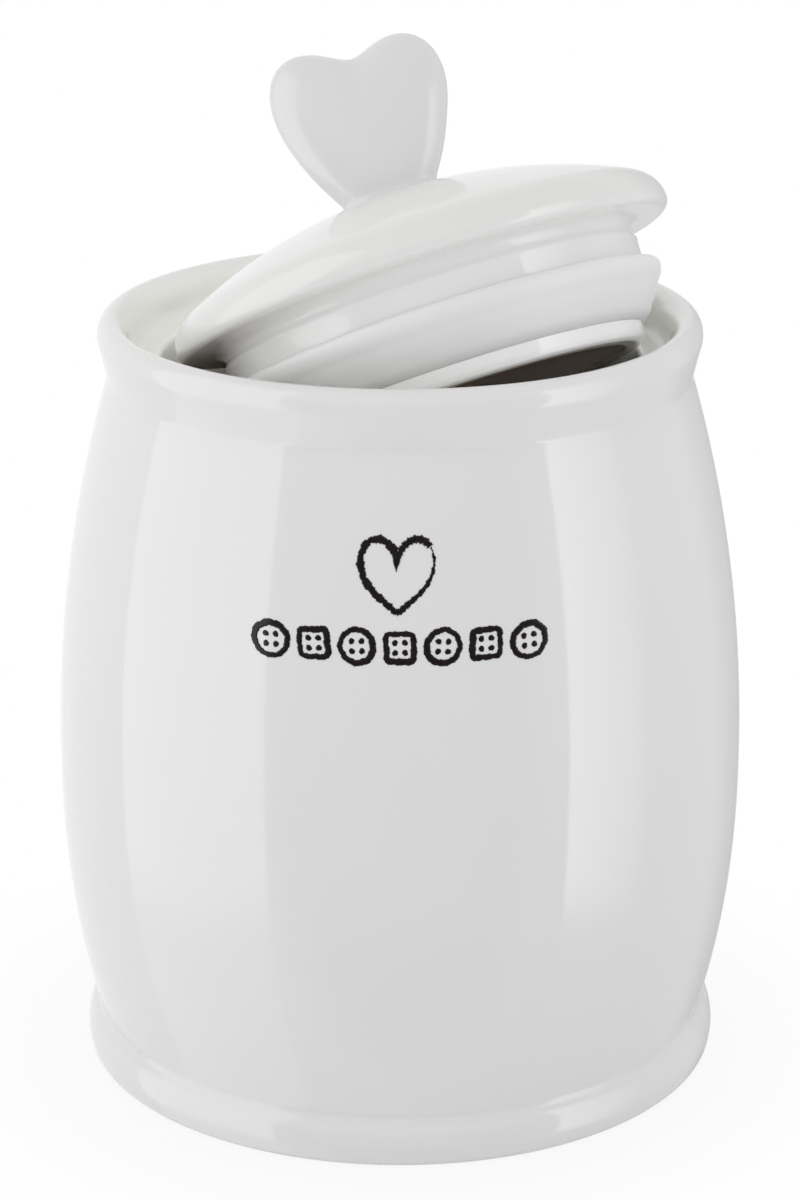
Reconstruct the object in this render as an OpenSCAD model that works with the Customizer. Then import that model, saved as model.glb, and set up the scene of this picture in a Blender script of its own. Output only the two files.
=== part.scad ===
// Ceramic biscuit jar with a leaning lid. Millimetres, +Z up, the front faces -Y.
// The origin is the centre of the foot, on the surface that the jar stands on.

/* [Jar] */
// height of the jar without its lid, to the crest of the rim
jar_h = 189; // [170:1:230]
// widest diameter of the belly
belly_d = 170; // [160:1:190]
// widest diameter of the foot band
foot_d = 160; // [150:1:170]
// height of the foot band, up to the crease under the belly
foot_h = 12; // [9:0.5:16]
// thickness of the ceramic wall
wall = 7; // [5:0.5:9]
// thickness of the base
base_t = 7; // [5:0.5:10]

/* [Mouth] */
// outside diameter of the collar
rim_d = 146.4; // [136:0.4:156]
// height of the collar, from the neck crease to the crest
collar_h = 14.5; // [12:0.5:18]
// depth of the lid ledge below the crest
ledge_drop = 10.4; // [8:0.2:13]
// width of the lid ledge
ledge_w = 7.7; // [6:0.1:9]
// depth of the throat under the ledge
throat_h = 18; // [14:0.5:24]

/* [Lid] */
// how far the dome reaches past the edge of the throat
lid_lap = 3.9; // [2.5:0.1:4.5]
// height of the dome above its widest circle
dome_h = 20.7; // [17:0.1:26]
// radius of the dome's upper edge
edge_r = 8; // [6:0.5:9]
// height of the neck between the dome and the seal
neck_h = 10.3; // [9:0.1:14]
// height of the seal
seal_h = 13.8; // [11:0.2:17]
// height of the plug's ring below the seal
ring_h = 4.6; // [3.6:0.2:7]
// gap between the seal and the throat when the lid is shut
seal_gap = 0.8; // [0.5:0.1:1.6]
// lean of the lid towards the left
lean_left = 17.9; // [14:0.1:20]
// lean of the lid towards the back
lean_back = 21.5; // [18:0.1:23]

/* [Heart knob] */
// width of the heart across its lobes
heart_w = 43.4; // [36:0.2:50]
// height of the heart above the top of the dome
heart_h = 38.6; // [34:0.2:46]
// thickness of the heart
heart_t = 15; // [12:0.5:18]
// roll of the heart to the left, about the lid's centre
heart_roll = 2.5; // [0:0.5:5]

/* [Marks] */
// width of the ink heart
mark_w = 19.5; // [14:0.5:24]
// height of the middle of the ink heart above the foot
mark_z = 149; // [144:0.2:154]
// width of the row of ink biscuits
row_w = 68.4; // [60:0.4:76]
// height of the middle of the row above the foot
row_z = 131.8; // [124:0.2:134]
// height of the ink biscuits
row_h = 9; // [7:0.2:10]
// thickness of the ink film
ink_t = 0.2; // [0.15:0.05:0.3]

/* [Show] */
// the node to show

/* [Hidden] */
$fn = 96;

// clearance between pieces that move apart
clear = 0.35;

// rim: a crest between an outer and an inner quarter ellipse
lip_out = 3.04;
lip_down = 4.35;
lip_in = 4.6;
lip_deep = 6;
crest_r = rim_d / 2 - lip_out;
gallery_r = crest_r - lip_in;
ledge_z = jar_h - ledge_drop;
ledge_fillet = 3;

// throat: a rounded edge, a taper that leads the seal in, a land and a flare
throat_r = gallery_r - ledge_w;
throat_round = 1.4;
throat_taper = 1.5;
land_r = throat_r - throat_taper;
land_z = ledge_z - 8.5;
throat_z = ledge_z - throat_h;

// belly and foot
neck_z = jar_h - collar_h;
neck_r = rim_d / 2 - 2.25;
belly_z = 0.404 * jar_h;
belly_n = 28;
foot_r = foot_d / 2;
crease_r = foot_r - 3.1;
inner_z = throat_z - 11;

// lid, measured from the plane of its widest circle
lid_r = throat_r + lid_lap;
under_r = 2.6;
cap_r = (pow(lid_r - edge_r, 2) + dome_h * dome_h - edge_r * edge_r) / (2 * (dome_h - edge_r));
cap_h = dome_h - cap_r;
edge_a = atan2(-cap_h, lid_r - edge_r);
seal_r = land_r - seal_gap;
collar_r = seal_r - 3.9;
ring_r = seal_r - 8.8;
core_r = ring_r - 1;
hole_r = core_r - 5.4;
seal_top = -under_r - neck_h;
ring_top = seal_top - seal_h;
plug_z = ring_top - ring_h;
dome_t = 7;

// the leaning pose: sideways and forward shift of the lid's centre
lid_x = 0.091 * throat_r;
lid_y = -0.035 * throat_r;

// points of an arc in the r, z plane, from angle a to angle b, with half-axes p and q
function arc(c, p, q, a, b, n) =
    [for (i = [0:n]) let (t = a + (b - a) * i / n) [c[0] + p * cos(t), c[1] + q * sin(t)]];

// radius of the belly at height z
function belly_r(z) =
    z > belly_z
    ? belly_d / 2 - (belly_d / 2 - neck_r) * pow((z - belly_z) / (neck_z - belly_z), 2.08)
    : belly_d / 2 - (belly_d / 2 - crease_r) * pow((belly_z - z) / (belly_z - foot_h), 2.22);

// belly points from height a to height b, moved out by d
function belly_pts(a, b, d, n) =
    [for (i = [0:n]) let (z = a + (b - a) * i / n) [belly_r(z) + d, z]];

function foot_pts() = concat(
    [[0, 0], [foot_r - 1.5, 0]],
    arc([foot_r - 1.6, 2.4], 1.4, 2.4, -60, 0, 4),
    arc([foot_r - 3.2, 4], 3.25, foot_h - 5, 0, 75, 6));

function rim_pts() = concat(
    [[neck_r + 0.15, neck_z + 0.8], [rim_d / 2 - 0.7, jar_h - lip_down - 3.3]],
    arc([crest_r, jar_h - lip_down], lip_out, lip_down, -18, 90, 9),
    arc([crest_r, jar_h - lip_deep], lip_in, lip_deep, 100, 180, 8));

function throat_pts() = concat(
    arc([gallery_r - ledge_fillet, ledge_z + ledge_fillet], ledge_fillet, ledge_fillet, 0, -90, 5),
    arc([throat_r + throat_round, ledge_z - throat_round], throat_round, throat_round, 90, 180, 5),
    [[land_r, land_z], [land_r, throat_z]]);

function inside_pts() = concat(
    belly_pts(inner_z, base_t + 12, -wall, 18),
    arc([belly_r(base_t + 12) - wall - 12, base_t + 12], 12, 12, 0, -90, 6),
    [[0, base_t]]);

// outline of the seal with three fins that point up
function seal_pts() = let (f = seal_h / 13.8) [
    [core_r, seal_top], [seal_r - 1.2, seal_top], [seal_r - 0.3, seal_top - 0.4],
    [seal_r, seal_top - 1.2 * f], [seal_r - 0.3, seal_top - 3 * f], [seal_r - 1.4, seal_top - 5 * f],
    [seal_r - 2.7, seal_top - 5.8 * f], [seal_r - 2.4, seal_top - 6.5 * f],
    [seal_r - 3.2, seal_top - 7.6 * f], [seal_r - 4.4, seal_top - 9.6 * f],
    [seal_r - 5.4, seal_top - 10.3 * f], [seal_r - 5.2, seal_top - 11 * f],
    [seal_r - 6.6, seal_top - 12.6 * f], [seal_r - 8, seal_top - 13.5 * f],
    [seal_r - 8.4, ring_top], [core_r, ring_top]];

function dome_pts() = concat(
    arc([lid_r - under_r, 0], under_r, under_r, -90, 0, 5),
    arc([lid_r - edge_r, 0], edge_r, edge_r, 6, edge_a, 7),
    arc([0, cap_h], cap_r, cap_r, edge_a + 3, 90, 16));

function neck_pts() = concat(
    [[collar_r, seal_top], [collar_r + 0.2, -under_r - 5.6], [collar_r + 0.4, -under_r - 4.6]],
    [[collar_r - 0.1, -under_r - 3.9]],
    arc([collar_r + 2.6, -under_r - 3.2], 3.2, 3.2, 180, 90, 5));

function plug_pts() = [
    [hole_r, plug_z + 1], [hole_r + 1, plug_z], [ring_r - 1.8, plug_z], [ring_r - 0.5, plug_z + 0.5],
    [ring_r, plug_z + 1.8], [ring_r, ring_top - 0.6], [ring_r - 0.6, ring_top], [core_r, ring_top],
    [core_r, seal_top]];

// the hollow under the dome
function hollow_pts() = concat(
    [for (i = [0:6]) let (r = (collar_r - 6.5) * i / 6) [r, cap_h + sqrt(pow(cap_r - dome_t, 2) - r * r)]],
    [[collar_r - 6.5, -under_r - 4], [hole_r, seal_top - 1]]);

// height that a lid point at radius r has to clear on its way straight up
function stop_z(r) = lookup(r, concat(
    [[land_r - 0.01, -999], [land_r, land_z]],
    [for (i = [0:5]) let (t = 180 - 18 * i)
        [throat_r + throat_round * (1 + cos(t)), ledge_z - throat_round * (1 - sin(t))]],
    [[gallery_r - ledge_fillet, ledge_z], [gallery_r - 0.4, ledge_z + 1.6], [gallery_r, jar_h - lip_deep]],
    [for (i = [1:6]) let (t = 180 - 15 * i) [crest_r + lip_in * cos(t), jar_h - lip_deep * (1 - sin(t))]],
    [[rim_d / 2, jar_h]]));

// the lid's axes in the leaning pose: up, right and back
up_v = [-sin(lean_left), cos(lean_left) * sin(lean_back), cos(lean_left) * cos(lean_back)];
right_v = ([1, 0, 0] - up_v * up_v[0]) / norm([1, 0, 0] - up_v * up_v[0]);
back_v = cross(up_v, right_v);

// a lid point in the leaning pose, before the lid is set down
function leaning(p, t) = right_v * p[0] * cos(t) + back_v * p[0] * sin(t) + up_v * p[1];

// rings of the lid that can touch the jar
touch = concat(seal_pts(), plug_pts(), dome_pts());

// the lid comes straight down until its first point rests on the jar
lid_z = max([for (p = touch) for (t = [0:3:357]) let (q = leaning(p, t))
    stop_z(norm([q[0] + lid_x, q[1] + lid_y]) + clear) - q[2]]) + clear;

module spin(pts) {
    rotate_extrude($fn = 96) polygon(pts);
}

// puts a lid piece in the leaning pose
module lean() {
    multmatrix([
        [right_v[0], back_v[0], up_v[0], lid_x],
        [right_v[1], back_v[1], up_v[1], lid_y],
        [right_v[2], back_v[2], up_v[2], lid_z],
        [0, 0, 0, 1]]) children();
}

// the barrel with its foot band, collar rim and lid ledge
module jar_body() {
    color([0.93, 0.93, 0.92])
    spin(concat(foot_pts(), belly_pts(foot_h, neck_z, 0, belly_n), rim_pts(), throat_pts(), inside_pts()));
}

// the whole lid without its hollow
module lid_solid() {
    spin(concat([[0, plug_z]], [for (i = [1:8]) plug_pts()[i]], neck_pts(), dome_pts()));
}

// the dome, its neck and the hollow plug
module lid() {
    color([0.94, 0.94, 0.93])
    lean() spin(concat(plug_pts(), neck_pts(), dome_pts(), hollow_pts()));
}

// a round pad of radius r and thickness t with a fully rounded edge, standing on its edge
module pad(x, z, r, t) {
    translate([x, 0, z]) rotate([90, 0, 0]) rotate_extrude($fn = 32)
        intersection() {
            translate([max(r - t / 2, 0.01), 0]) scale([min(r * 2 / t, 1), 1]) circle(t / 2, $fn = 24);
            translate([0, -t]) square([r + t, t * 2]);
        }
}

// one side of the heart: lobe, cheek and foot
module heart_side(s) {
    k = heart_w / 43.4;
    m = heart_h / 38.6;
    hull() {
        pad(10.5 * k * s, dome_h + heart_h - 11.2 * m, 11.2 * m, heart_t);
        pad(6.7 * k * s, dome_h + 13.5 * m, 11.4 * m, heart_t);
        pad(0, dome_h - 1, 12 * k, heart_t * 0.95);
    }
}

// the puffy heart, cut to sit on the dome
module heart_knob() {
    color([0.95, 0.95, 0.94])
    lean() difference() {
        translate([-0.8, 0, 0]) rotate([0, -heart_roll, 0]) {
            heart_side(-1);
            heart_side(1);
            hull() {
                pad(-5.5, dome_h + heart_h - 14.1, 10, heart_t);
                pad(5.5, dome_h + heart_h - 14.1, 10, heart_t);
                pad(0, dome_h, 8, heart_t * 0.95);
            }
        }
        lid_solid();
    }
}

// the silicone ring round the plug
module lid_seal() {
    color([0.88, 0.89, 0.9])
    lean() spin(seal_pts());
}

// wraps a flat drawing in x, z onto the front of the belly as a film, between heights z0 and z1
module film(z0, z1) {
    step = (neck_z - foot_h) / belly_n;
    a = foot_h + step * floor((z0 - foot_h) / step);
    b = foot_h + step * ceil((z1 - foot_h) / step);
    n = round((b - a) / step);
    intersection() {
        translate([0, -belly_d / 2 + 40, 0]) rotate([90, 0, 0]) linear_extrude(60) children();
        spin(concat(belly_pts(a, b, 0, n), belly_pts(b, a, ink_t, n)));
    }
}

// heart outline with its tip down, w wide
function heart_pts(w, n) = [for (i = [0:n - 1]) let (t = 360 * i / n)
    [w / 32 * 16 * pow(sin(t), 3),
     w / 32 * (14 * cos(t) - 5.2 * cos(2 * t) - 2 * cos(3 * t) - cos(4 * t))]];

// the hand-inked heart
module heart_mark() {
    color([0.13, 0.11, 0.11])
    film(mark_z - mark_w * 0.62, mark_z + mark_w * 0.62)
    translate([0, mark_z]) difference() {
        polygon(heart_pts(mark_w, 48));
        translate([mark_w * 0.025, 0]) polygon(heart_pts(mark_w * 0.8, 48));
    }
}

// the row of inked biscuits: rings and bars with docker holes
module biscuit_marks() {
    color([0.13, 0.11, 0.11])
    film(row_z - row_h * 0.62, row_z + row_h * 0.62)
    for (i = [0:6])
        translate([row_w / 7 * (i - 3), row_z])
        if (i % 2 == 0) round_biscuit();
        else square_biscuit();
}

module round_biscuit() {
    difference() {
        circle(row_h / 2);
        circle(row_h / 2 - 1.1);
    }
    for (t = [45:90:315]) translate([row_h * 0.16 * cos(t), row_h * 0.16 * sin(t)]) circle(0.5);
}

module square_biscuit() {
    difference() {
        square(row_h * 0.86, center = true);
        square(row_h * 0.86 - 2.2, center = true);
    }
    for (x = [-1, 1]) for (z = [-1, 1]) translate([x * row_h * 0.15, z * row_h * 0.15]) circle(0.5);
}

jar_body();
lid();
heart_knob();
lid_seal();
heart_mark();
biscuit_marks();
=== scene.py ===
import math

import bpy
import numpy as np
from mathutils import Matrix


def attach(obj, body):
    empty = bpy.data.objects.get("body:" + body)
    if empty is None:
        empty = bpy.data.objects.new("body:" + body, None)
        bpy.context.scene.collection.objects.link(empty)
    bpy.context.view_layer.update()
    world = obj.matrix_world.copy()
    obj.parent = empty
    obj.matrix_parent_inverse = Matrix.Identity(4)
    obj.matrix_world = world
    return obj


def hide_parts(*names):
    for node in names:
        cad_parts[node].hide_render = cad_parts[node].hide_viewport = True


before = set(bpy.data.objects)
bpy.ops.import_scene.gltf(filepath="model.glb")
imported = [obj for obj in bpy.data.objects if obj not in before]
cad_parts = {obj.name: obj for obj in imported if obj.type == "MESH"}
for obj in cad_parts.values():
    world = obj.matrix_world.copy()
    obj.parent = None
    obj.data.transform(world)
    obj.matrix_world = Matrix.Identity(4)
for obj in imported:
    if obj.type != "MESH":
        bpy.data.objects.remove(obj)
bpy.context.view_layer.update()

# ---------------------------------------------------------------- camera
# A long lens a little under a metre away, looking down on the jar's front at about nineteen degrees.

look_down = 18.916

eye = bpy.data.cameras.new("eye")
eye.sensor_width = 36
eye.lens = 106.28
eye.clip_end = 20
eye_object = bpy.data.objects.new("eye", eye)
eye_object.location = (0, -0.832456, 0.400612)
eye_object.rotation_euler = (math.radians(90 - look_down), 0, 0)
bpy.context.scene.collection.objects.link(eye_object)
bpy.context.scene.camera = eye_object
bpy.context.scene.view_settings.view_transform = "Standard"

# ---------------------------------------------------------------- table and room
# A round white table stands in a white room, which lights the jar evenly, with a little more from
# beside the camera. Two tall windows, a wide one on the left and a narrow one on the right, show
# only in the glaze.

# the sizes of every piece are in millimetres, and this turns them into Blender's metres
MM = 0.001

table_z = -0.05


def link(name, mesh):
    """Puts a mesh into the scene as an object at the origin."""
    piece = bpy.data.objects.new(name, mesh)
    bpy.context.scene.collection.objects.link(piece)
    return piece


def smooth_mesh(name, corners, faces):
    """A smoothly shaded mesh from corners in millimetres and lists of corner numbers."""
    mesh = bpy.data.meshes.new(name)
    mesh.from_pydata((corners * MM).tolist(), [], faces)
    mesh.polygons.foreach_set("use_smooth", np.ones(len(mesh.polygons), bool))
    mesh.update()
    return mesh


def skin(name, points, poles=(False, False), ring=False, depth=None):
    """A mesh over a grid of points: rows run along the first index, and the second index goes once
    round and closes on itself. A row that is a pole becomes one corner. A ring's last row joins its
    first. A depth for each row is kept on its corners, for the paint."""
    rows, around = points.shape[:2]
    first = 1 if poles[0] else 0
    last = rows - 1 if poles[1] else rows
    count = last - first
    corners = points[first:last].reshape(-1, 3)
    row = np.arange(count if ring else count - 1)[:, None]
    turn = np.arange(around)
    next_row = (row + 1) % count
    next_turn = (turn + 1) % around
    quads = np.stack([row * around + turn, row * around + next_turn,
                      next_row * around + next_turn, next_row * around + turn], -1).reshape(-1, 4)
    fans = []
    if poles[0]:
        tip = np.full(around, len(corners))
        corners = np.vstack([corners, points[0, :1]])
        fans.append(np.stack([tip, next_turn, turn], -1))
    if poles[1]:
        tip = np.full(around, len(corners))
        corners = np.vstack([corners, points[-1, :1]])
        base = (count - 1) * around
        fans.append(np.stack([tip, base + turn, base + next_turn], -1))
    triangles = np.vstack(fans).tolist() if fans else []
    mesh = smooth_mesh(name, corners, quads.tolist() + triangles)
    if depth is not None:
        values = np.concatenate([np.repeat(depth[first:last], around), depth[:first], depth[last:]])
        mesh.attributes.new("depth", "FLOAT", "POINT").data.foreach_set("value", values.astype(np.float32))
    return link(name, mesh)


table_turn = np.linspace(0, 2 * np.pi, 97)[:-1]
table_r = np.array([0.0, 40, 80, 120, 160, 200, 230, 250])[:, None]
table_points = np.stack([table_r * np.cos(table_turn), table_r * np.sin(table_turn),
                         0 * table_r * table_turn + table_z], -1)
table = skin("table", table_points[::-1], poles=(False, True))


def empty_material(name):
    """A node material that holds only its output: the material, its tree and the output's surface."""
    material = bpy.data.materials.new(name)
    material.use_nodes = True
    tree = material.node_tree
    tree.nodes.clear()
    return material, tree, tree.nodes.new("ShaderNodeOutputMaterial").inputs[0]


def ramp(tree, value, start, end, low=0.0, high=1.0):
    """A smooth step of a value, from low at start to high at end. The start may lie above the end."""
    rising = start < end
    step = tree.nodes.new("ShaderNodeMapRange")
    step.interpolation_type = "SMOOTHSTEP"
    step.inputs["From Min"].default_value = min(start, end)
    step.inputs["From Max"].default_value = max(start, end)
    step.inputs["To Min"].default_value = low if rising else high
    step.inputs["To Max"].default_value = high if rising else low
    tree.links.new(value, step.inputs["Value"])
    return step.outputs["Result"]


def times(tree, first, second):
    """The product of two values."""
    product = tree.nodes.new("ShaderNodeMath")
    product.operation = "MULTIPLY"
    tree.links.new(first, product.inputs[0])
    tree.links.new(second, product.inputs[1])
    return product.outputs[0]


def blended(tree, share, under, over):
    """Two shaders mixed by a share."""
    blend = tree.nodes.new("ShaderNodeMixShader")
    tree.links.new(share, blend.inputs[0])
    tree.links.new(under.outputs[0], blend.inputs[1])
    tree.links.new(over.outputs[0], blend.inputs[2])
    return blend.outputs[0]


# The camera sees plain white, but for a share of the paint's own shading close to the jar, which keeps
# the jar's shadow.
paint, tree, surface = empty_material("table_paint")
matt = tree.nodes.new("ShaderNodeBsdfPrincipled")
matt.inputs["Base Color"].default_value = (0.82, 0.82, 0.82, 1)
matt.inputs["Roughness"].default_value = 0.55
plain = tree.nodes.new("ShaderNodeEmission")
plain.inputs["Strength"].default_value = 1.0
place = tree.nodes.new("ShaderNodeTexCoord")
away = tree.nodes.new("ShaderNodeVectorMath")
away.operation = "LENGTH"
tree.links.new(place.outputs["Object"], away.inputs[0])
fading = ramp(tree, away.outputs["Value"], start=0.08, end=0.14, low=0.88)
ray = tree.nodes.new("ShaderNodeLightPath")
tree.links.new(blended(tree, times(tree, fading, ray.outputs["Is Camera Ray"]), matt, plain), surface)
table.data.materials.append(paint)
table.visible_glossy = False


def mixed(tree, share, under, over):
    """Two colours mixed by a share. Each is a socket or a fixed colour."""
    mix = tree.nodes.new("ShaderNodeMix")
    mix.data_type = "RGBA"
    for socket, colour in (("A", under), ("B", over)):
        if isinstance(colour, tuple):
            mix.inputs[socket].default_value = (*colour, 1)
        else:
            tree.links.new(colour, mix.inputs[socket])
    tree.links.new(share, mix.inputs["Factor"])
    return mix.outputs["Result"]


world = bpy.data.worlds.new("white_room")
bpy.context.scene.world = world
world.use_nodes = True
tree = world.node_tree
tree.nodes.clear()
way = tree.nodes.new("ShaderNodeTexCoord")
axes = tree.nodes.new("ShaderNodeSeparateXYZ")
tree.links.new(way.outputs["Generated"], axes.inputs[0])
ray = tree.nodes.new("ShaderNodeLightPath")

# The room as it lights the jar: the left is brighter than the right, and each row adds a part of the
# room, with its axis, where it starts and where it is whole, and its colour.
lit = mixed(tree, ramp(tree, axes.outputs["X"], -0.5, 0.3), (1.16, 1.17, 1.19), (0.86, 0.87, 0.89))
for axis, start, whole, colour in (
        ("Y", 0.2, 0.7, (1.35, 1.35, 1.35)),        # the far wall
        ("Y", -0.45, -0.85, (0.25, 0.25, 0.26)),    # the dark end behind the camera
        ("Z", 0.3, 0.85, (0.74, 0.74, 0.73)),       # the ceiling
        ("Z", 0.0, -0.35, (0.85, 0.85, 0.85))):     # what lies below the table
    lit = mixed(tree, ramp(tree, axes.outputs[axis], start, whole), lit, colour)

# a broad soft light by the camera
toward = tree.nodes.new("ShaderNodeVectorMath")
toward.operation = "DOT_PRODUCT"
toward.inputs[1].default_value = (0, -0.95, 0.31)
tree.links.new(way.outputs["Generated"], toward.inputs[0])
lit = mixed(tree, ramp(tree, toward.outputs["Value"], 0.78, 0.96), lit, (1.19, 1.19, 1.22))

# The room as the glaze mirrors it: a low band at the camera's end is dim, so is the far right
# corner, and the ceiling is even.
mirrored = mixed(tree, ramp(tree, axes.outputs["X"], -0.2, 0.5), (0.97, 0.975, 1.0), (0.80, 0.805, 0.83))
band = times(tree, ramp(tree, axes.outputs["Y"], -0.58, -0.8), ramp(tree, axes.outputs["Z"], 0.42, 0.15))
mirrored = mixed(tree, band, mirrored, (0.36, 0.36, 0.38))
corner = times(tree, ramp(tree, axes.outputs["Y"], 0.55, 0.8), ramp(tree, axes.outputs["X"], 0.0, 0.3))
mirrored = mixed(tree, corner, mirrored, (0.52, 0.52, 0.53))
mirrored = mixed(tree, ramp(tree, axes.outputs["Z"], 0.15, 0.6), mirrored, (0.88, 0.88, 0.87))

room = tree.nodes.new("ShaderNodeBackground")
tree.links.new(mixed(tree, ray.outputs["Is Glossy Ray"], lit, mirrored), room.inputs["Color"])
backdrop = tree.nodes.new("ShaderNodeBackground")
backdrop.inputs["Color"].default_value = (1, 1, 1, 1)
out = tree.nodes.new("ShaderNodeOutputWorld")
tree.links.new(blended(tree, ray.outputs["Is Camera Ray"], room, backdrop), out.inputs[0])


def stretched(tree, value, low, high):
    """A value that runs from nought to one, stretched to run from low to high."""
    span = tree.nodes.new("ShaderNodeMapRange")
    span.inputs["To Min"].default_value = low
    span.inputs["To Max"].default_value = high
    tree.links.new(value, span.inputs["Value"])
    return span.outputs["Result"]


def window(name, azimuth, distance, low, high, width, near, far, foot):
    """A tall lit card, sized in metres, that faces the jar and shows only in the glaze. Azimuth is in
    degrees to the right of the front. Its light runs from near, on the edge beside the camera, to far.
    Under the sill, a share of it is left, the foot, which stands for the light that the floor there
    throws back."""
    sill_foot, sill_top = -0.52, -0.33
    turn = math.radians(azimuth)
    centre = np.array([distance * math.sin(turn), -distance * math.cos(turn), 0])
    nearer = np.array([math.cos(turn), math.sin(turn), 0]) * width / 2 * (1 if azimuth < 0 else -1)
    corners = [centre + nearer * side + np.array([0, 0, z])
               for side, z in ((1, low), (-1, low), (-1, high), (1, high))]
    mesh = bpy.data.meshes.new(name)
    mesh.from_pydata([tuple(corner) for corner in corners], [], [(0, 1, 2, 3)])
    sheet = mesh.uv_layers.new(name="sheet")
    sheet.data.foreach_set("uv", [0, 0, 1, 0, 1, 1, 0, 1])
    card = link(name, mesh)
    material, tree, surface = empty_material(name)
    place = tree.nodes.new("ShaderNodeTexCoord")
    axes = tree.nodes.new("ShaderNodeSeparateXYZ")
    tree.links.new(place.outputs["UV"], axes.inputs[0])
    glow = tree.nodes.new("ShaderNodeEmission")
    tree.links.new(stretched(tree, axes.outputs["X"], near, far), glow.inputs["Strength"])
    clear = tree.nodes.new("ShaderNodeBsdfTransparent")
    height = high - low
    above = ramp(tree, axes.outputs["Y"], (sill_foot - low) / height, (sill_top - low) / height, foot)
    tree.links.new(blended(tree, above, clear, glow), surface)
    mesh.materials.append(material)
    card.visible_camera = card.visible_diffuse = card.visible_shadow = False


window("window_left", azimuth=-72, distance=0.95, low=-1.9, high=1.3, width=1.05,
       near=2.2, far=1.9, foot=0.4)
window("window_right", azimuth=70, distance=1.0, low=-1.9, high=0.8, width=0.55,
       near=3.2, far=1.1, foot=0.05)

# ---------------------------------------------------------------- jar
# The barrel, foot band and collar are one slip-cast piece of white earthenware, glazed in and out.
# The foot's flat ring is wiped clean of glaze so that it doesn't stick to the kiln shelf.

jar_h = 189
belly_d = 170
foot_d = 160
foot_h = 12
wall = 7
base_t = 7
floor_round = 12
rim_d = 146.4
collar_h = 14.5
lip_out, lip_down = 3.04, 4.35
lip_in, lip_deep = 4.6, 6
ledge_drop, ledge_w = 10.4, 7.7
ledge_fillet = 3
throat_h, throat_round = 18, 1.4
shoulder_power = 2.08
hip_power = 2.22
standing = 0.02

crest_r = rim_d / 2 - lip_out
gallery_r = crest_r - lip_in
ledge_z = jar_h - ledge_drop
throat_r = gallery_r - ledge_w
throat_z = ledge_z - throat_h
land_r = throat_r - 1.5
land_z = ledge_z - 8.5
neck_z = jar_h - collar_h
neck_r = rim_d / 2 - 2.25
belly_z = 0.404 * jar_h
foot_r = foot_d / 2
crease_r = foot_r - 3.1


def arc(middle_r, middle_z, half_r, half_z, start, end, steps=12):
    """Points r, z on an ellipse about its middle, with half-axes half_r and half_z, from the angle
    start to the angle end, in degrees from the outward side."""
    angle = np.radians(np.linspace(start, end, steps + 1))
    return np.stack([middle_r + half_r * np.cos(angle), middle_z + half_z * np.sin(angle)], -1)


def belly_r(z):
    """The belly's radius: its widest, less a power of the share of the way up to the neck or down to
    the foot."""
    up = np.clip((z - belly_z) / (neck_z - belly_z), 0, 1)
    down = np.clip((belly_z - z) / (belly_z - foot_h), 0, 1)
    widest = belly_d / 2
    return widest - (widest - neck_r) * up ** shoulder_power - (widest - crease_r) * down ** hip_power


def belly(start, end, out, rows=40):
    """The belly's profile from one height to another, moved out by a distance."""
    z = np.linspace(start, end, rows)
    return np.stack([belly_r(z) + out, z], -1)


def fair(path, soft, step=0.2, bend=3.2, reach=5.0):
    """A drawn profile as a glaze leaves it: walked at an even step, softened by a bell curve of width
    soft, and kept as rows no further apart than a bend in degrees or a reach in millimetres."""
    path = np.asarray(path, float)
    run = np.r_[0, np.cumsum(np.hypot(*np.diff(path, axis=0).T))]
    keep = np.r_[True, np.diff(run) > 1e-6]
    path, run = path[keep], run[keep]
    count = max(int(run[-1] / step), 8)
    along = np.linspace(0, run[-1], count)
    even = np.stack([np.interp(along, run, path[:, 0]), np.interp(along, run, path[:, 1])], -1)
    half = int(4 * soft / step) + 1
    bell = np.exp(-0.5 * (np.arange(-half, half + 1) * step / soft) ** 2)
    bell /= bell.sum()
    padded = np.vstack([2 * even[0] - even[half:0:-1], even, 2 * even[-1] - even[-2:-half - 2:-1]])
    even = np.stack([np.convolve(padded[:, column], bell, "valid") for column in (0, 1)], -1)
    stride = np.diff(even, axis=0)
    heading = np.unwrap(np.arctan2(stride[:, 1], stride[:, 0]))
    cost = np.r_[0, np.abs(np.diff(heading)) / math.radians(bend), 0] + step / reach
    total = np.cumsum(cost)
    at = np.interp(np.linspace(total[0], total[-1], int(total[-1]) + 2), total, np.arange(count))
    return np.stack([np.interp(at, np.arange(count), even[:, column]) for column in (0, 1)], -1)


def turned(profile, around=224):
    """A profile of r, z spun round the Z axis, as a grid of points."""
    turn = np.linspace(0, 2 * np.pi, around + 1)[:-1]
    r, z = profile[:, :1], profile[:, 1:]
    return np.stack([r * np.cos(turn), r * np.sin(turn), z + 0 * turn], -1)


jar_profile = fair(np.vstack([
    # under the foot, its rolled lower corner, and its band up to the crease
    [[0, standing], [foot_r - 1.5, standing]],
    arc(foot_r - 1.6, 2.4, 1.4, 2.4, -60, 0),
    arc(foot_r - 3.2, 4, 3.25, foot_h - 5, 0, 75),
    # the belly, the collar and the outside of the lip
    belly(foot_h, neck_z, 0, 120),
    [[neck_r + 0.15, neck_z + 0.8], [rim_d / 2 - 0.7, jar_h - lip_down - 3.3]],
    arc(crest_r, jar_h - lip_down, lip_out, lip_down, -18, 90),
    # the inside of the lip, the ledge, and the throat below it
    arc(crest_r, jar_h - lip_deep, lip_in, lip_deep, 100, 180),
    arc(gallery_r - ledge_fillet, ledge_z + ledge_fillet, ledge_fillet, ledge_fillet, 0, -90),
    arc(throat_r + throat_round, ledge_z - throat_round, throat_round, throat_round, 90, 180),
    [[land_r, land_z], [land_r, throat_z]],
    # the inside of the belly and the floor
    belly(throat_z - 11, base_t + floor_round, -wall),
    arc(belly_r(base_t + floor_round) - wall - floor_round, base_t + floor_round,
        floor_round, floor_round, 0, -90),
    [[0, base_t]]]), soft=0.45)

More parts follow.
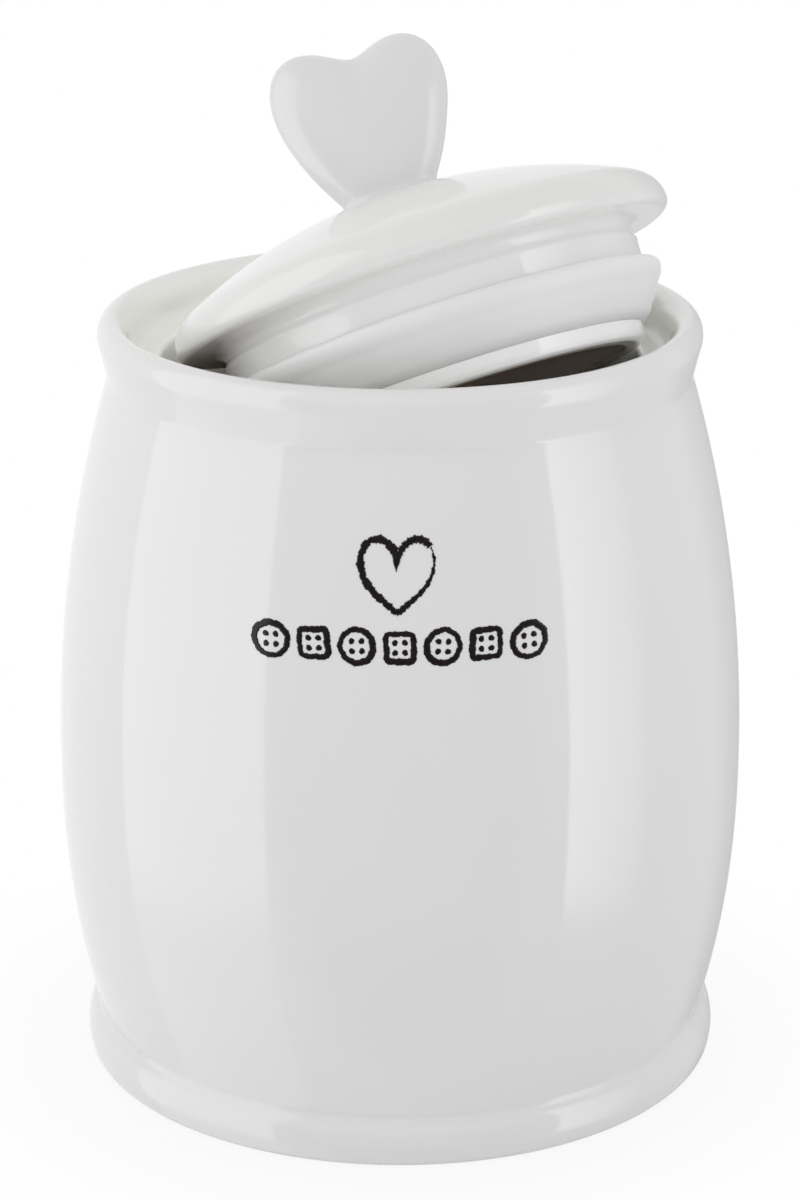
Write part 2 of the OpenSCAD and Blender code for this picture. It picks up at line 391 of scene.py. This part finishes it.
# the depth is nought outside, and inside it adds up the way down from the crest and a share of the
# way inward
inward_share = 0.8
inside = np.arange(len(jar_profile)) > int(np.argmax(jar_profile[:, 1]))
way_down = jar_h - jar_profile[:, 1]
way_in = np.maximum(crest_r - jar_profile[:, 0], 0)
jar_depth = np.where(inside, way_down + inward_share * way_in, 0)
jar = skin("barrel", turned(jar_profile), poles=(True, True), depth=jar_depth)


def principled(name):
    """A node material of one principled shader: the material, its tree and the shader."""
    material, tree, surface = empty_material(name)
    shader = tree.nodes.new("ShaderNodeBsdfPrincipled")
    tree.links.new(shader.outputs[0], surface)
    return material, tree, shader


def noise(tree, scale, detail):
    """Noise through the piece on its Object coordinates."""
    place = tree.nodes.new("ShaderNodeTexCoord")
    texture = tree.nodes.new("ShaderNodeTexNoise")
    texture.inputs["Scale"].default_value = scale
    texture.inputs["Detail"].default_value = detail
    tree.links.new(place.outputs["Object"], texture.inputs["Vector"])
    return texture.outputs[0]


def bumped(tree, height, strength, distance):
    """A bump node over a height, with its distance in metres."""
    bump = tree.nodes.new("ShaderNodeBump")
    bump.inputs["Strength"].default_value = strength
    bump.inputs["Distance"].default_value = distance
    tree.links.new(height, bump.inputs["Height"])
    return bump


def glaze(name, colour, rough=0.07, wave=0.12):
    """White glaze: a colour with a faint cloud in it, a mirror-smooth face with long shallow waves,
    and a fine pebble that only shows in reflections."""
    material, tree, shader = principled(name)
    cloud = noise(tree, scale=22, detail=3)
    darker = tuple(channel * 0.985 for channel in colour)
    lighter = tuple(channel * 1.015 for channel in colour)
    tone = mixed(tree, cloud, darker, lighter)
    tree.links.new(tone, shader.inputs["Base Color"])
    tree.links.new(stretched(tree, cloud, rough * 0.8, rough * 1.3), shader.inputs["Roughness"])
    shader.inputs["IOR"].default_value = 1.5
    waves = bumped(tree, noise(tree, scale=16, detail=1), strength=wave, distance=0.0004)
    pebble = bumped(tree, noise(tree, scale=520, detail=1), strength=0.01, distance=0.00004)
    tree.links.new(waves.outputs[0], pebble.inputs["Normal"])
    tree.links.new(pebble.outputs[0], shader.inputs["Normal"])
    return material, tree, shader, tone


def by_depth(tree, under, start, end, colour):
    """Passes from one colour to another as the depth written on the mesh goes from start to end, in
    millimetres."""
    depth = tree.nodes.new("ShaderNodeAttribute")
    depth.attribute_name = "depth"
    return mixed(tree, ramp(tree, depth.outputs["Fac"], start, end), under, colour)


# From the crest in and down to the ledge the glaze is painted lighter and creamier: painted fill light
# against the shade in the mouth. Below the throat it is painted warm brown: painted shade deep in the
# jar. The lowest half millimetre of the foot is bare clay.
jar_glaze, tree, shader, tone = glaze("jar_glaze", (0.84, 0.835, 0.83))
painted_lip_light = by_depth(tree, tone, 0.0, 6.0, (0.94, 0.935, 0.895))
# painted shade: the deep inside of the jar is painted warm brown
painted_deep_shade = by_depth(tree, painted_lip_light, 26.0, 66.0, (0.91, 0.69, 0.50))
place = tree.nodes.new("ShaderNodeTexCoord")
axes = tree.nodes.new("ShaderNodeSeparateXYZ")
tree.links.new(place.outputs["Object"], axes.inputs[0])
clay = mixed(tree, ramp(tree, axes.outputs["Z"], 0.0002, 0.0006), (0.62, 0.58, 0.52), painted_deep_shade)
tree.links.new(clay, shader.inputs["Base Color"])
jar.data.materials.append(jar_glaze)
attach(jar, "jar")
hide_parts("jar_body")

# ---------------------------------------------------------------- lid
# The lid is a second casting: a shallow dome with a rolled edge, a necked collar with a bead,
# and a hollow plug that the seal is pushed over. It leans in the mouth with its plug part way in.

dome_h = 20.7
edge_r = 8
under_r = 2.6
neck_h = 10.3
seal_h = 13.8
ring_h = 4.6
lid_wall = 7
bead_r = 3.2
lid_r = throat_r + 3.9
lean_left = math.radians(17.9)
lean_back = math.radians(21.5)
seat = np.array([5.265, -2.025, 197.737])

# the dome is a cap of a ball that meets the rolled edge in one smooth curve
cap_r = ((lid_r - edge_r) ** 2 + dome_h ** 2 - edge_r ** 2) / (2 * (dome_h - edge_r))
cap_h = dome_h - cap_r
edge_a = math.degrees(math.atan2(-cap_h, lid_r - edge_r))
seal_r = land_r - 0.8
collar_r = seal_r - 3.9
ring_r = seal_r - 8.8
core_r = ring_r - 1
hole_r = core_r - 5.4
hollow_r = collar_r - 6.5
seal_top = -under_r - neck_h
ring_top = seal_top - seal_h
plug_z = ring_top - ring_h

up_v = np.array([-math.sin(lean_left),
                 math.cos(lean_left) * math.sin(lean_back),
                 math.cos(lean_left) * math.cos(lean_back)])
right_v = np.array([1.0, 0, 0]) - up_v * up_v[0]
right_v /= np.linalg.norm(right_v)
back_v = np.cross(up_v, right_v)


def leaning(points):
    """Turns points from the lid's own upright frame to where it leans: right, back and up axes about
    its seat."""
    return points @ np.stack([right_v, back_v, up_v]) + seat


hollow_end = math.degrees(math.acos(hollow_r / (cap_r - lid_wall)))
lid_profile = fair(np.vstack([
    # the hollow, from the middle of its ceiling down to the plug's mouth
    arc(0, cap_h, cap_r - lid_wall, cap_r - lid_wall, 90, hollow_end, 20),
    [[hollow_r, -under_r - 4], [hole_r, seal_top - 1]],
    [[hole_r, plug_z + 1], [hole_r + 1, plug_z], [ring_r - 1.8, plug_z], [ring_r - 0.5, plug_z + 0.5]],
    # the plug's ring, and the groove that holds the seal
    [[ring_r, plug_z + 1.8], [ring_r + 0.2, ring_top + 0.4], [core_r, ring_top + 0.4]],
    [[core_r, seal_top], [collar_r, seal_top]],
    # the neck and its bead
    [[collar_r + 0.2, -under_r - 5.6], [collar_r + 0.4, -under_r - 4.6], [collar_r - 0.1, -under_r - 3.9]],
    arc(collar_r + 2.6, -under_r - bead_r, bead_r, bead_r, 180, 90),
    # the dome's underside, its rolled edge and its top
    arc(lid_r - under_r, 0, under_r, under_r, -90, 0),
    arc(lid_r - edge_r, 0, edge_r, edge_r, 6, edge_a),
    arc(0, cap_h, cap_r, cap_r, edge_a + 1, 90, 40)]), soft=0.3, reach=2.0)

# the depth is nought on the dome, counts down from its edge to the plug's end, and on up the hollow
row = np.arange(len(lid_profile))
outer = row >= int(np.argmax(lid_profile[:, 0]))
hollow = row < int(np.argmin(lid_profile[:, 1]))
lid_depth = np.where(outer, 0, np.maximum(-lid_profile[:, 1], 0))
lid_depth = np.where(hollow, lid_profile[:, 1] - 2 * plug_z, lid_depth)
lid = skin("dome", leaning(turned(lid_profile)), poles=(True, True), depth=lid_depth)

lid_glaze, tree, shader, tone = glaze("lid_glaze", (0.85, 0.848, 0.83), wave=0.1)
# Under the dome the glaze is painted lighter in steps, over the overhang, the neck and the plug: painted
# fill light against the shade under the dome and in the mouth.
painted_overhang_light = by_depth(tree, tone, 0.0, 2.6, (0.90, 0.893, 0.88))
under = by_depth(tree, painted_overhang_light, 5.0, 9.0, (0.885, 0.88, 0.868))
plug = by_depth(tree, under, 14.0, 24.0, (0.96, 0.955, 0.945))
# painted shade: up inside the plug's hollow the glaze is painted warm brown
tree.links.new(by_depth(tree, plug, 33.0, 46.0, (0.93, 0.71, 0.53)), shader.inputs["Base Color"])
lid.data.materials.append(lid_glaze)
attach(lid, "lid")
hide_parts("lid")

# ---------------------------------------------------------------- heart knob
# A puffy heart, cast in a two-part mould, is stuck on the dome with slip before glazing.
# The joint is sponged to a small fillet, and the glaze runs over both.

heart_t = 15.0
heart_side = -0.9
heart_up = 39.0
outline_power = 2.7
face_power = 2.15
fillet = 2.8
skirt = 1.2
sunk = 0.05
joint_long, joint_short = 12, 7


def heart_knob_points(around=300, rows=300):
    """The knob in the lid's frame, a closed pillow. The outline's radius about the heart's middle is a
    short sum of cosines and sines of the angle from straight up. From front to back, a power of the
    share of that radius and a power of the share of the half-thickness add up to one. Near the dome
    the skin turns outward along a quarter circle of the fillet's radius, runs on just under the dome's
    face for the width of the skirt, and only then goes down into the clay."""
    turn = np.linspace(0, 2 * np.pi, around + 1)[:-1]
    outline = (21.5 + 0.82 * np.cos(2 * turn) - 3.35 * np.cos(3 * turn) - 0.85 * np.cos(4 * turn)
               - np.cos(5 * turn) - 0.1 * np.cos(6 * turn) - 0.19 * np.cos(7 * turn)
               - 0.19 * np.sin(turn) - 0.26 * np.sin(2 * turn) - 0.44 * np.sin(3 * turn)
               - 0.26 * np.sin(4 * turn) - 0.16 * np.sin(5 * turn))
    swing = np.linspace(0, np.pi, rows)[:, None]
    share = np.sin(swing) ** (2 / outline_power)
    x = heart_side + share * outline * np.sin(turn)
    height = heart_up + share * outline * np.cos(turn)
    thick = np.sign(np.cos(swing)) * np.abs(np.cos(swing)) ** (2 / face_power)
    y = -heart_t / 2 * thick + 0 * turn
    over = height - (cap_h + np.sqrt(cap_r ** 2 - x ** 2 - y ** 2))
    walked = np.maximum(fillet - over, 0)
    bend = np.minimum(walked / fillet, np.pi / 2)
    past = walked - fillet * np.pi / 2
    run = np.clip(past, 0, skirt)
    down = np.maximum(past - skirt, 0)
    flare = fillet * (1 - np.cos(bend)) + run
    out_x, out_y = x / joint_long ** 2, y / joint_short ** 2
    size = np.hypot(out_x, out_y) + 1e-6
    x, y = x + flare * out_x / size, y + flare * out_y / size
    dome = cap_h + np.sqrt(cap_r ** 2 - x ** 2 - y ** 2)
    laid = dome + fillet * (1 - np.sin(bend)) - sunk * walked / fillet - down
    return np.stack([x, y, np.where(walked > 0, laid, height)], -1)


knob = skin("heart", leaning(heart_knob_points()), poles=(True, True))
# The knob's glaze is painted a shade darker than the lid's: painted shade, as the knob's face turns toward
# the broad light by the camera.
knob_glaze, tree, shader, tone = glaze("knob_glaze", (0.80, 0.796, 0.79), rough=0.15, wave=0.08)
knob.data.materials.append(knob_glaze)
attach(knob, "lid")
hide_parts("heart_knob")

# ---------------------------------------------------------------- seal
# A ring of soft white silicone with thin fins, stretched over the plug from below,
# keeps the biscuits dry and holds the lid when it is pushed in.

seal_profile = [
    # the top fin
    [core_r, seal_top], [seal_r - 1.2, seal_top], [seal_r - 0.3, seal_top - 0.4],
    [seal_r, seal_top - 1.2], [seal_r - 0.3, seal_top - 3], [seal_r - 1.4, seal_top - 5],
    # the second and third fins, each smaller than the one above
    [seal_r - 2.7, seal_top - 5.8], [seal_r - 2.4, seal_top - 6.5],
    [seal_r - 3.2, seal_top - 7.6], [seal_r - 4.4, seal_top - 9.6],
    [seal_r - 5.4, seal_top - 10.3], [seal_r - 5.2, seal_top - 11],
    [seal_r - 6.6, seal_top - 12.6], [seal_r - 8, seal_top - 13.5],
    # the foot on the plug's ring
    [ring_r - 0.6, ring_top - 0.7], [core_r, ring_top - 0.7]]

# the profile is walked upward and back to its start, and the ring joins its last row to its first
seal_rows = fair([*seal_profile[::-1], seal_profile[-1]], soft=1.0, step=0.1, bend=6)[:-1]
seal = skin("seal", leaning(turned(seal_rows)), ring=True)

silicone, tree, shader = principled("seal_silicone")
haze = noise(tree, scale=60, detail=4)
milk = mixed(tree, haze, (0.82, 0.82, 0.815), (0.85, 0.85, 0.845))
tree.links.new(milk, shader.inputs["Base Color"])
shader.inputs["Roughness"].default_value = 0.45
shader.inputs["IOR"].default_value = 1.41
shader.inputs["Subsurface Weight"].default_value = 0.6
shader.inputs["Subsurface Radius"].default_value = (1.0, 1.0, 1.0)
shader.inputs["Subsurface Scale"].default_value = 0.005
grain = bumped(tree, haze, strength=0.15, distance=0.0001)
tree.links.new(grain.outputs[0], shader.inputs["Normal"])
seal.data.materials.append(silicone)
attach(seal, "lid")
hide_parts("lid_seal")

# ---------------------------------------------------------------- inked heart
# The heart on the belly is a printed transfer of a quick brush drawing, fired on under a thin glaze.
# It has a loaded left stroke, and a right stroke that lifts off the jar and comes back thin.

film = 0.12
film_edge = -0.06
mark_w, drawn_w = 19.5, 19.5
mark_z = 149.0


def on_belly(x, z, out):
    """Lays flat drawing points x, z on the front of the belly, out millimetres off the glaze."""
    r = belly_r(z) + out
    return np.stack([x, -np.sqrt(np.maximum(r * r - x * x, 0)), z], -1)


def ripple(along, seed, amount, waves=(9, 17, 31, 53, 88)):
    """A rough edge: a few sine waves along the stroke, each smaller than the last, with set phases."""
    phase = np.random.default_rng(seed).uniform(0, 2 * np.pi, len(waves))
    size = amount / np.sqrt(np.arange(1, len(waves) + 1))
    return (size[:, None] * np.sin(2 * np.pi * np.array(waves)[:, None] * along + phase[:, None])).sum(0)


def stroke_points(x, z, width, seed, rough, closed=False):
    """A brush stroke as a ribbon: its middle line x, z, its width at each point, and a rough edge on
    each side. Across, it is a low hump whose edges sink just under the glaze."""
    if closed:
        way_x = (np.roll(x, -1) - np.roll(x, 1)) / 2
        way_z = (np.roll(z, -1) - np.roll(z, 1)) / 2
    else:
        way_x, way_z = np.gradient(x), np.gradient(z)
    length = np.hypot(way_x, way_z)
    side_x, side_z = -way_z / length, way_x / length
    along = np.linspace(0, 1, len(x), endpoint=not closed)
    left = width / 2 + ripple(along, seed, rough)
    right = width / 2 + ripple(along, seed + 1, rough)
    across = np.array([-1, -0.9, -0.5, 0, 0.5, 0.9, 1])[:, None]
    offset = np.where(across < 0, left, right) * across
    drawn_x, drawn_z = x + side_x * offset, z + side_z * offset
    lift = np.where(np.abs(across) < 1, film, film_edge)
    return on_belly(drawn_x, drawn_z, lift + 0 * drawn_x)


def ribbon(name, strokes):
    """Joins strokes, each a grid of points across and along, into one mesh of open or closed ribbons,
    and turns every face to look away from the jar."""
    corners, faces, taken = [], [], 0
    for points, closed in strokes:
        rows, columns = points.shape[:2]
        row = np.arange(rows - 1)[:, None]
        column = np.arange(columns if closed else columns - 1)
        next_column = (column + 1) % columns
        quads = np.stack([row * columns + column, row * columns + next_column,
                          (row + 1) * columns + next_column, (row + 1) * columns + column], -1)
        faces.append(quads.reshape(-1, 4) + taken)
        corners.append(points.reshape(-1, 3))
        taken += rows * columns
    corners, faces = np.vstack(corners), np.vstack(faces)
    first, second, third = (corners[faces[:, corner]] for corner in (0, 1, 2))
    inward = np.cross(second - first, third - first)[:, 1] > 0
    faces[inward] = faces[inward][:, ::-1]
    return link(name, smooth_mesh(name, corners, faces.tolist()))


def heart_line(turn):
    """The drawn heart's middle line: x is a short sum of sines, z of cosines, of the turn from the
    notch round by the right side to the tip at half a turn, and by the left side the other way."""
    x = 6.5 * np.sin(turn) + 0.3 * np.sin(2 * turn) - 1.7 * np.sin(3 * turn) - 0.4 * np.sin(4 * turn)
    z = 7.8 * np.cos(turn) - 2.0 * np.cos(2 * turn) - 1.9 * np.cos(3 * turn) - 0.7 * np.cos(4 * turn)
    return mark_w / drawn_w * x - 0.6, mark_w / drawn_w * z + mark_z - 0.9


def eased(along, stops, sizes):
    """A width that passes smoothly through the given sizes at the given stops."""
    at = np.interp(along, stops, np.arange(len(stops)))
    whole = np.floor(at).astype(int).clip(0, len(stops) - 2)
    part = at - whole
    part = part * part * (3 - 2 * part)
    sizes = np.array(sizes)
    return sizes[whole] * (1 - part) + sizes[whole + 1] * part


# Each stroke has where it starts and how far it goes, in half turns of the heart line, the stops and
# widths along it, its seed and how rough it is: the left one, the right one, and its thin end.
heart_strokes = []
along = np.linspace(0, 1, 340)
for start, length, stops, widths, seed, rough in (
        (-0.02, -0.99, [0, 0.1, 0.35, 0.6, 0.85, 1], [0.7, 2.0, 1.6, 1.8, 1.5, 1.3], 3, 0.13),
        (0.02, 0.36, [0, 0.2, 0.85, 1], [0.7, 1.5, 1.8, 1.5], 11, 0.13),
        (0.385, 0.62, [0, 0.1, 0.4, 0.8, 1], [0.3, 0.6, 1.1, 1.5, 1.3], 19, 0.1)):
    line_x, line_z = heart_line(np.pi * (start + length * along))
    heart_strokes.append((stroke_points(line_x, line_z, eased(along, stops, widths), seed, rough), False))

# the spike that runs down from the notch
along = np.linspace(0, 1, 80)
spike_x = -0.8 + 0.05 * np.sin(6 * along)
spike_z = mark_z + 3.6 - 4.0 * along
spike_width = eased(along, [0, 0.35, 1], [2.2, 1.7, 0.15])
spike = stroke_points(spike_x, spike_z, spike_width, seed=27, rough=0.08)
ink_heart = ribbon("brush_heart", [*heart_strokes, (spike, False)])


def ink(name):
    """Fired ink under glaze: near black and a little brown, a shade lighter where it lies thin."""
    material, tree, shader = principled(name)
    shade = tree.nodes.new("ShaderNodeValToRGB")
    dark, thin = shade.color_ramp.elements
    dark.position, dark.color = 0.30, (0.0045, 0.0025, 0.002, 1)
    thin.position, thin.color = 0.78, (0.016, 0.010, 0.008, 1)
    tree.links.new(noise(tree, scale=900, detail=2), shade.inputs[0])
    tree.links.new(shade.outputs[0], shader.inputs["Base Color"])
    shader.inputs["Roughness"].default_value = 0.12
    shader.inputs["IOR"].default_value = 1.33
    return material


mark_ink = ink("ink")
ink_heart.data.materials.append(mark_ink)
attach(ink_heart, "jar")
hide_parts("heart_mark")

# ---------------------------------------------------------------- inked biscuits
# Under the heart runs a row of little stamped biscuits, round and square by turns, each with
# docker holes. They are part of the same fired-on transfer, so the stamp's rough edges show.

row_w = 68.4
row_z = 131.8
row_h = 9.0
biscuit_count = 7
line_w = 1.45
line_inset = 0.75
square_share, square_power = 0.43, 7
dot_r = 0.72
dot_out = 1.6

stamps = []
turn = np.linspace(0, 2 * np.pi, 221)[:-1]
dot_turn = np.linspace(0, 2 * np.pi, 29)[:-1]
dot_rings = np.array([0.02, 0.5, 0.88, 1.0])[:, None]
dot_lift = np.array([film, film, film, film_edge])[:, None] + 0 * dot_turn
for number in range(biscuit_count):
    wobble = np.random.default_rng(40 + number)
    tilt, drop = wobble.uniform(-0.08, 0.08), wobble.uniform(-0.25, 0.25)
    middle_x, middle_z = row_w / biscuit_count * (number - 3), row_z + drop
    # a circle, or a square with round corners, where a high power of both sides adds up to one
    if number % 2 == 0:
        radius = row_h / 2 - line_inset + 0 * turn
    else:
        reach = np.abs(np.cos(turn)) ** square_power + np.abs(np.sin(turn)) ** square_power
        radius = (row_h * square_share - line_inset) / reach ** (1 / square_power)
    radius = radius + ripple(turn / (2 * np.pi), seed=60 + number, amount=0.06, waves=(2, 3, 5, 8))
    edge_x = middle_x + radius * np.cos(turn + tilt)
    edge_z = middle_z + radius * np.sin(turn + tilt)
    edge_w = line_w + 0.2 * np.sin(turn + number)
    line = stroke_points(edge_x, edge_z, edge_w, seed=80 + 2 * number, rough=0.07, closed=True)
    stamps.append((line, True))
    for angle in np.radians([45, 135, 225, 315]):
        dot_seed = int(200 + 9 * number + angle)
        rough_r = dot_r + ripple(dot_turn / (2 * np.pi), dot_seed, amount=0.05, waves=(2, 3, 5))
        dot_x = middle_x + dot_out * np.cos(angle + tilt) + dot_rings * rough_r * np.cos(dot_turn)
        dot_z = middle_z + dot_out * np.sin(angle + tilt) + dot_rings * rough_r * np.sin(dot_turn)
        stamps.append((on_belly(dot_x, dot_z, dot_lift), True))
biscuits = ribbon("stamped_biscuits", stamps)
biscuits.data.materials.append(mark_ink)
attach(biscuits, "jar")
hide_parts("biscuit_marks")
